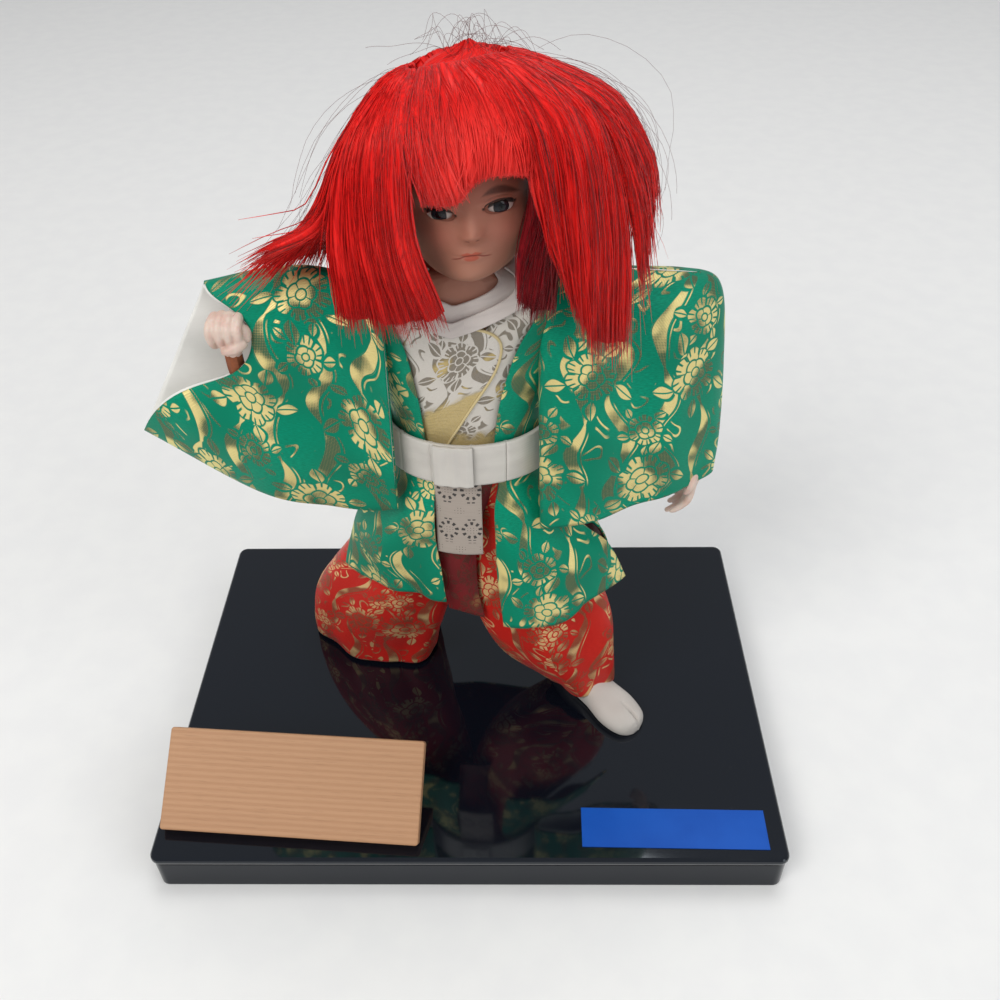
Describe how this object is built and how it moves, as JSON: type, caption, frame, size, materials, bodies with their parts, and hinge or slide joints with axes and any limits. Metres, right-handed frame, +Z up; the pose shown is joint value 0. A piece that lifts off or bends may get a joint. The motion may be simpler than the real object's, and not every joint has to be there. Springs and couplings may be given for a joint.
{
  "type": "kabuki dance doll on display board",
  "caption": "Display doll with a long red silk wig, brocade coat, divided skirt and sash, stepping forward on a lacquered board with a leaning wooden name plaque.",
  "frame": {"origin": "middle of the board, at its underside", "axes": "+X towards the doll's left side, +Y towards its back, +Z up; the doll faces -Y"},
  "size_m": [0.24, 0.17, 0.2777],
  "materials": {
    "lacquer": "gloss black lacquer",
    "label": "plain blue, semi-gloss",
    "bare_wood": "bare planed, straight grain",
    "post_wire": "plain wire",
    "sock_cloth": "white cotton",
    "red_brocade": "red silk brocade with gold figures",
    "green_brocade": "green silk brocade with gold figures",
    "white_lining": "plain white silk",
    "arm_paper": "brown wound paper",
    "straw_core": "bound straw under paper",
    "doll_skin": "satin shell-white coating",
    "eye_glass": "dark polished",
    "kimono_silk": "white silk with dark gold figures",
    "white_sash": "white silk",
    "wig_net": "dark red netting",
    "red_hair": "combed silk strands"
  },
  "bodies": {
    "stand": {"base_top": "lacquer", "base_frame": "lacquer", "blue_label": "label", "right_leg_post": "post_wire", "left_leg_post": "post_wire", "right_post_nut": "post_wire", "left_post_nut": "post_wire", "right_tabi": "sock_cloth", "left_tabi": "sock_cloth", "hakama_right_leg": "red_brocade", "hakama_left_leg": "red_brocade", "hakama_centre": "red_brocade", "coat_skirt_right": "green_brocade", "coat_skirt_left": "green_brocade", "coat_skirt_back": "green_brocade", "coat_front_right": "green_brocade", "coat_front_left": "green_brocade", "coat_back": "green_brocade", "right_sleeve": "green_brocade", "left_sleeve": "green_brocade", "right_sleeve_lining": "white_lining", "left_sleeve_lining": "white_lining", "right_arm_core": "arm_paper", "left_arm_core": "arm_paper", "torso_core": "straw_core", "right_fist": "doll_skin", "left_hand": "doll_skin", "kimono_right": "kimono_silk", "kimono_left": "kimono_silk", "obi_band": "white_sash", "obi_front_fold": "white_sash", "sash_tab": "white_sash", "inner_collar": "white_sash", "outer_collar": "white_sash"},
    "head": {"head": "doll_skin", "right_eye": "eye_glass", "left_eye": "eye_glass", "neck_peg": "bare_wood", "wig_cap": "wig_net", "hair_crown": "red_hair", "hair_fringe": "red_hair", "hair_front_right": "red_hair", "hair_side_right": "red_hair", "hair_front_left": "red_hair", "hair_side_left": "red_hair", "hair_back": "red_hair", "hair_inner_left": "red_hair"},
    "plaque": {"name_plaque": "bare_wood", "plaque_prop": "bare_wood"}
  },
  "joints": [
    {"name": "head_turn", "type": "hinge", "parent": "stand", "child": "head", "pos_m": [0.003, 0.0063, 0.2145], "axis": [0, 0, 1], "range_deg": [-15, 15]},
    {"name": "plaque_lift", "type": "slide", "parent": "stand", "child": "plaque", "axis": [0, 0, 1], "range_m": [0, 0.04]}
  ]
}
